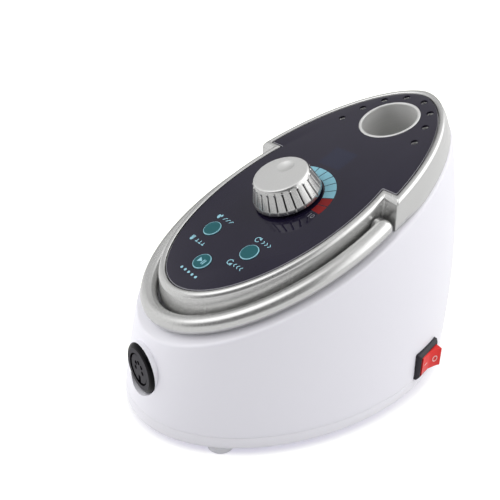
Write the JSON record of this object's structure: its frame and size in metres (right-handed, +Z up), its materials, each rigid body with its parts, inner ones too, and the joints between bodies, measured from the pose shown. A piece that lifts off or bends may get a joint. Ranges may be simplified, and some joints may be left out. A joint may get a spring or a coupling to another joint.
{
  "type": "nail drill machine",
  "caption": "Oval desk control unit for a nail drill: sloping panel with a fluted speed knob and keys, folding carry handle, handpiece cup, bit holes, plug socket and rocker switch.",
  "frame": {"origin": "middle of the footprint on the table, under the feet", "axes": "+X to the right of the user, +Y away from the user towards the cup, +Z up"},
  "size_m": [0.133, 0.1951, 0.1343],
  "materials": {
    "white_shell": "satin",
    "silver_paint": "satin silver",
    "panel_black": "gloss",
    "cup_metal": "satin",
    "key_teal": "satin",
    "display_dark": "gloss",
    "black_plastic": "satin",
    "rocker_red": "gloss",
    "steel": "plated",
    "contact_brass": "plated",
    "board_green": "satin",
    "pot_case": "satin",
    "core_steel": "varnished",
    "coil_copper": "varnished",
    "capacitor_sleeve": "satin",
    "sink_metal": "anodised",
    "foot_rubber": "matte"
  },
  "bodies": {
    "unit": {"main_housing": "white_shell", "base_plate": "white_shell", "top_bezel": "silver_paint", "control_panel": "panel_black", "handpiece_cup": "cup_metal", "speed_display": "display_dark", "handpiece_socket": "black_plastic", "socket_insert": "black_plastic", "switch_body": "black_plastic", "mains_inlet": "black_plastic", "pedal_jack": "black_plastic", "tact_switches": "black_plastic", "pot_nut": "steel", "board_screws": "steel", "bezel_screws": "steel", "socket_nut": "steel", "inlet_pins": "steel", "jack_nut": "steel", "transformer_clamp": "steel", "clamp_screws": "steel", "power_board_screws": "steel", "base_screws": "steel", "socket_contacts": "contact_brass", "switch_terminals": "contact_brass", "control_board": "board_green", "power_board": "board_green", "potentiometer": "pot_case", "transformer_core": "core_steel", "transformer_coil": "coil_copper", "smoothing_capacitor": "capacitor_sleeve", "heat_sink": "sink_metal", "rubber_feet": "foot_rubber"},
    "handle": {"carry_handle": "silver_paint", "handle_pins": "steel"},
    "knob": {"speed_knob": "silver_paint", "pot_shaft": "steel"},
    "hand_foot": {"hand_foot_key": "key_teal"},
    "direction": {"direction_key": "key_teal"},
    "standby": {"standby_key": "key_teal"},
    "rocker": {"switch_rocker": "rocker_red"}
  },
  "joints": [
    {"name": "handle_swing", "type": "hinge", "parent": "unit", "child": "handle", "pos_m": [0, 0.00883, 0.09296], "axis": [-1, 0, 0], "range_deg": [0, 112]},
    {"name": "knob_turn", "type": "hinge", "parent": "unit", "child": "knob", "pos_m": [0, -0.00726, 0.09621], "axis": [0, -0.3746, 0.9272], "range_deg": [-122, 66]},
    {"name": "hand_foot_press", "type": "slide", "parent": "unit", "child": "hand_foot", "axis": [0, 0.3746, -0.9272], "range_m": [0, 0.0005], "stiffness_N_per_m": 1500, "springref_m": -0.0004},
    {"name": "direction_press", "type": "slide", "parent": "unit", "child": "direction", "axis": [0, 0.3746, -0.9272], "range_m": [0, 0.0005], "stiffness_N_per_m": 1500, "springref_m": -0.0004},
    {"name": "standby_press", "type": "slide", "parent": "unit", "child": "standby", "axis": [0, 0.3746, -0.9272], "range_m": [0, 0.0005], "stiffness_N_per_m": 1500, "springref_m": -0.0004},
    {"name": "rocker_tilt", "type": "hinge", "parent": "unit", "child": "rocker", "pos_m": [0.06107, 0.03557, 0.0173], "axis": [0, 0, 1], "range_deg": [0, 24]}
  ]
}
